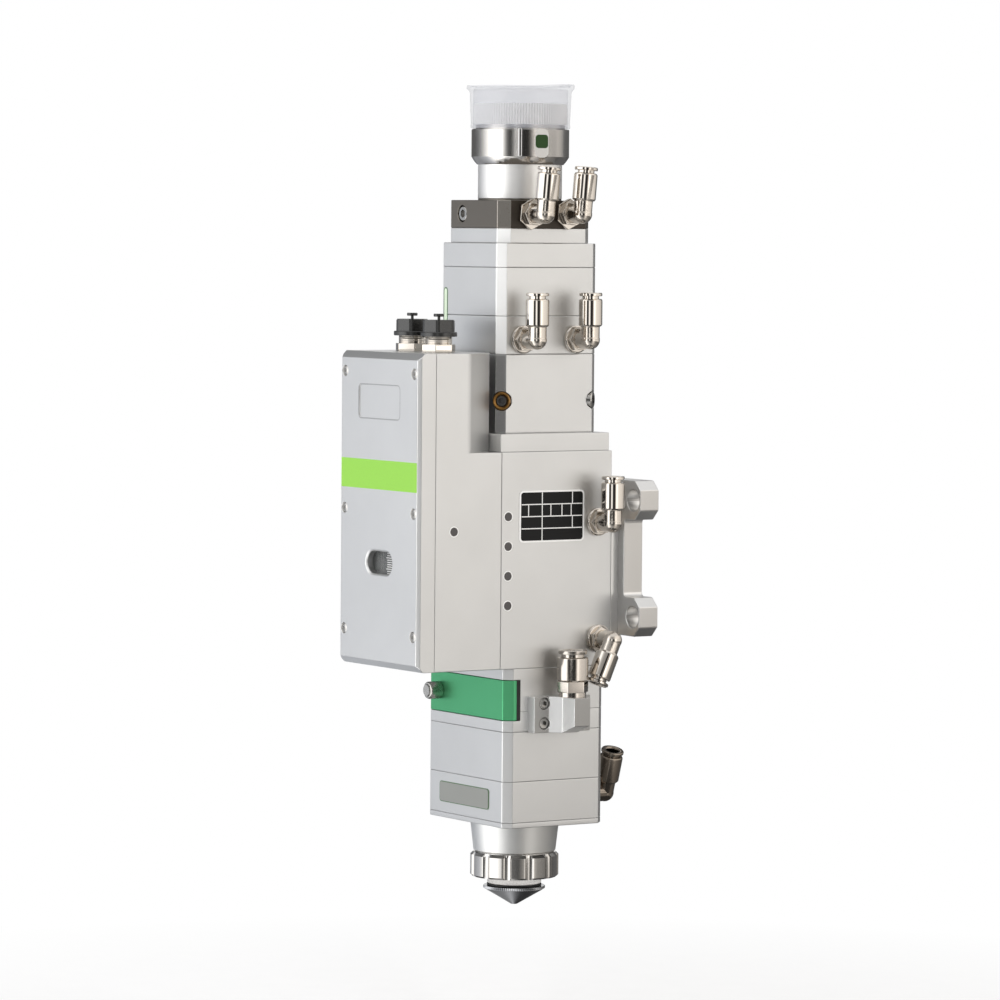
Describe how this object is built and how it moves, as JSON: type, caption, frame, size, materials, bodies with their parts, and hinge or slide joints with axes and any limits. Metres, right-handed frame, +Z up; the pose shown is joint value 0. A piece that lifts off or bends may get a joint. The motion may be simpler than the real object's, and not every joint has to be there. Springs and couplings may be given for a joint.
{
  "type": "laser cutting head",
  "caption": "Slim square-column laser cutting head with a motor box for the focus, a window drawer, hose elbows, a nozzle below and a capped fibre socket on top.",
  "frame": {"origin": "centre of the orifice at the nozzle's tip, on the beam's axis", "axes": "+Z up along the beam's axis to the fibre socket, the motor box faces -Y, most hose fittings are on +X and the bracket faces +Y"},
  "size_m": [0.1047, 0.1172, 0.3706],
  "materials": {
    "satin_aluminium": "blasted and clear anodised",
    "green_aluminium": "green anodised",
    "dark_aluminium": "dark anodised",
    "nickel_brass": "nickel plated, polished",
    "bright_steel": "turned",
    "ceramic": "glazed white ceramic",
    "black_rubber": "matt",
    "black_plastic": "moulded",
    "clear_plastic": "milky, see-through",
    "lens_glass": "polished",
    "motor_paint": "black"
  },
  "bodies": {
    "root": {"base_plate": "satin_aluminium", "body_flange": "satin_aluminium", "bracket_spacer": "satin_aluminium", "cable_connectors": "nickel_brass", "centring_block": "satin_aluminium", "ceramic_ring": "ceramic", "collimator_lower": "satin_aluminium", "collimator_middle": "satin_aluminium", "collimator_upper": "satin_aluminium", "cooling_plate": "dark_aluminium", "drawer_housing": "satin_aluminium", "drive_frame": "bright_steel", "drive_motor": "motor_paint", "elbow_stems": "nickel_brass", "fibre_receptacle": "satin_aluminium", "gas_block": "satin_aluminium", "gas_fitting": "nickel_brass", "gas_module": "satin_aluminium", "housing_cover": "satin_aluminium", "main_body": "satin_aluminium", "motor_housing": "satin_aluminium", "mounting_bracket": "satin_aluminium", "sensor_cone": "satin_aluminium", "sensor_module": "satin_aluminium", "socket_screws": "bright_steel", "spacer_plate": "satin_aluminium", "window_module": "satin_aluminium"},
    "dust_cap": {"dust_cap": "clear_plastic"},
    "locking_sleeve": {"locking_sleeve": "bright_steel"},
    "focus_carriage": {"focus_carriage": "satin_aluminium", "focusing_lens": "lens_glass"},
    "lead_screw": {"lead_screw": "bright_steel"},
    "window_drawer": {"window_drawer": "green_aluminium", "drawer_gasket": "black_rubber", "protective_window": "lens_glass"},
    "drawer_screw": {"drawer_screw": "bright_steel"},
    "gas_fitting_ring": {"gas_fitting_ring": "nickel_brass"},
    "lock_nut": {"lock_nut": "satin_aluminium"},
    "nozzle": {"nozzle": "bright_steel"},
    "connector_cap_left": {"connector_cap_left": "black_plastic"},
    "connector_cap_right": {"connector_cap_right": "black_plastic"},
    "centring_screw_front": {"centring_screw_front": "bright_steel"},
    "centring_screw_rear": {"centring_screw_rear": "bright_steel"},
    "centring_stage": {"centring_stage": "satin_aluminium"},
    "lens_cell": {"lens_cell": "satin_aluminium", "collimating_lens": "lens_glass"},
    "elbow_head_front": {"elbow_head_front": "nickel_brass"},
    "release_ring_head_front": {"release_ring_head_front": "nickel_brass"},
    "elbow_head_rear": {"elbow_head_rear": "nickel_brass"},
    "release_ring_head_rear": {"release_ring_head_rear": "nickel_brass"},
    "elbow_collimator_front": {"elbow_collimator_front": "nickel_brass"},
    "release_ring_collimator_front": {"release_ring_collimator_front": "nickel_brass"},
    "elbow_collimator_rear": {"elbow_collimator_rear": "nickel_brass"},
    "release_ring_collimator_rear": {"release_ring_collimator_rear": "nickel_brass"},
    "elbow_body_upper": {"elbow_body_upper": "nickel_brass"},
    "release_ring_body_upper": {"release_ring_body_upper": "nickel_brass"},
    "elbow_body_lower": {"elbow_body_lower": "nickel_brass"},
    "release_ring_body_lower": {"release_ring_body_lower": "nickel_brass"},
    "elbow_sensor_rear": {"elbow_sensor_rear": "nickel_brass"},
    "release_ring_sensor_rear": {"release_ring_sensor_rear": "nickel_brass"}
  },
  "joints": [
    {"name": "dust_cap_lift", "type": "slide", "parent": "locking_sleeve", "child": "dust_cap", "axis": [0, 0, 1], "range_m": [0, 0.03]},
    {"name": "locking_sleeve_turn", "type": "hinge", "parent": "root", "child": "locking_sleeve", "pos_m": [0, 0, 0.33432], "axis": [0, 0, 1], "range_deg": [0, 60]},
    {"name": "focus_slide", "type": "slide", "parent": "root", "child": "focus_carriage", "axis": [0, 0, 1], "range_m": [-0.01, 0.01]},
    {"name": "lead_screw_turn", "type": "hinge", "parent": "root", "child": "lead_screw", "pos_m": [0, -0.049, 0.16], "axis": [0, 0, 1], "range_deg": [-901, 901]},
    {"name": "drawer_slide", "type": "slide", "parent": "root", "child": "window_drawer", "axis": [0, -1, 0], "range_m": [0, 0.045]},
    {"name": "drawer_screw_turn", "type": "hinge", "parent": "window_drawer", "child": "drawer_screw", "pos_m": [-0.0232, -0.02635, 0.09652], "axis": [0, -1, 0], "range_deg": [0, 360]},
    {"name": "gas_ring_press", "type": "slide", "parent": "root", "child": "gas_fitting_ring", "axis": [0, 0, -1], "range_m": [0, 0.0012], "stiffness_N_per_m": 200},
    {"name": "lock_nut_turn", "type": "hinge", "parent": "root", "child": "lock_nut", "pos_m": [0, 0, 0.01302], "axis": [0, 0, -1], "range_deg": [0, 360]},
    {"name": "nozzle_turn", "type": "hinge", "parent": "root", "child": "nozzle", "pos_m": [0, 0, 0], "axis": [0, 0, -1], "range_deg": [0, 360]},
    {"name": "connector_cap_left_turn", "type": "hinge", "parent": "root", "child": "connector_cap_left", "pos_m": [-0.01135, -0.0493, 0.258], "axis": [0, 0, 1], "range_deg": [0, 360]},
    {"name": "connector_cap_right_turn", "type": "hinge", "parent": "root", "child": "connector_cap_right", "pos_m": [0.01135, -0.0493, 0.258], "axis": [0, 0, 1], "range_deg": [0, 360]},
    {"name": "centring_stage_slide", "type": "slide", "parent": "root", "child": "centring_stage", "axis": [0.7071, -0.7071, 0], "range_m": [-0.0006, 0.0006]},
    {"name": "lens_cell_slide", "type": "slide", "parent": "centring_stage", "child": "lens_cell", "axis": [0.7071, 0.7071, 0], "range_m": [-0.0006, 0.0006]},
    {"name": "centring_screw_front_turn", "type": "hinge", "parent": "root", "child": "centring_screw_front", "pos_m": [0.02431, -0.02431, 0.22912], "axis": [0.7071, -0.7071, 0], "range_deg": [-217, 217]},
    {"name": "centring_screw_rear_turn", "type": "hinge", "parent": "root", "child": "centring_screw_rear", "pos_m": [0.02431, 0.02431, 0.22912], "axis": [0.7071, 0.7071, 0], "range_deg": [-217, 217]},
    {"name": "elbow_head_front_swivel", "type": "hinge", "parent": "root", "child": "elbow_head_front", "pos_m": [0.0239, -0.0097, 0.31212], "axis": [1, 0, 0], "range_deg": [-10, 90]},
    {"name": "release_ring_head_front_press", "type": "slide", "parent": "elbow_head_front", "child": "release_ring_head_front", "axis": [0, -0.0872, -0.9962], "range_m": [0, 0.001], "stiffness_N_per_m": 200},
    {"name": "elbow_head_rear_swivel", "type": "hinge", "parent": "root", "child": "elbow_head_rear", "pos_m": [0.0239, 0.01, 0.31232], "axis": [1, 0, 0], "range_deg": [-90, 10]},
    {"name": "release_ring_head_rear_press", "type": "slide", "parent": "elbow_head_rear", "child": "release_ring_head_rear", "axis": [0, -0.0872, -0.9962], "range_m": [0, 0.001], "stiffness_N_per_m": 200},
    {"name": "elbow_collimator_front_swivel", "type": "hinge", "parent": "root", "child": "elbow_collimator_front", "pos_m": [0.02575, -0.01465, 0.25642], "axis": [1, 0, 0], "range_deg": [-20, 90]},
    {"name": "release_ring_collimator_front_press", "type": "slide", "parent": "elbow_collimator_front", "child": "release_ring_collimator_front", "axis": [0, 0, -1], "range_m": [0, 0.001], "stiffness_N_per_m": 200},
    {"name": "elbow_collimator_rear_swivel", "type": "hinge", "parent": "root", "child": "elbow_collimator_rear", "pos_m": [0.02575, 0.0135, 0.25642], "axis": [1, 0, 0], "range_deg": [-90, 20]},
    {"name": "release_ring_collimator_rear_press", "type": "slide", "parent": "elbow_collimator_rear", "child": "release_ring_collimator_rear", "axis": [0, 0, -1], "range_m": [0, 0.001], "stiffness_N_per_m": 200},
    {"name": "elbow_body_upper_swivel", "type": "hinge", "parent": "root", "child": "elbow_body_upper", "pos_m": [0.0339, 0.02095, 0.17482], "axis": [1, 0, 0], "range_deg": [-10, 90]},
    {"name": "release_ring_body_upper_press", "type": "slide", "parent": "elbow_body_upper", "child": "release_ring_body_upper", "axis": [0, 0, -1], "range_m": [0, 0.001], "stiffness_N_per_m": 200},
    {"name": "elbow_body_lower_swivel", "type": "hinge", "parent": "root", "child": "elbow_body_lower", "pos_m": [0.0339, 0.02145, 0.12242], "axis": [1, 0, 0], "range_deg": [0, 60]},
    {"name": "release_ring_body_lower_press", "type": "slide", "parent": "elbow_body_lower", "child": "release_ring_body_lower", "axis": [0, 0.3987, 0.9171], "range_m": [0, 0.001], "stiffness_N_per_m": 200},
    {"name": "elbow_sensor_rear_swivel", "type": "hinge", "parent": "root", "child": "elbow_sensor_rear", "pos_m": [0.0148, 0.02635, 0.05022], "axis": [0, 1, 0], "range_deg": [-60, 60]},
    {"name": "release_ring_sensor_rear_press", "type": "slide", "parent": "elbow_sensor_rear", "child": "release_ring_sensor_rear", "axis": [-0.309, 0, -0.9511], "range_m": [0, 0.001], "stiffness_N_per_m": 200}
  ],
  "couplings": [
    {"joint": "lead_screw_turn", "follows": "focus_slide", "rad_per_m": -1570.8},
    {"joint": "centring_screw_front_turn", "follows": "centring_stage_slide", "rad_per_m": 6283.2},
    {"joint": "centring_screw_rear_turn", "follows": "lens_cell_slide", "rad_per_m": 6283.2}
  ]
}
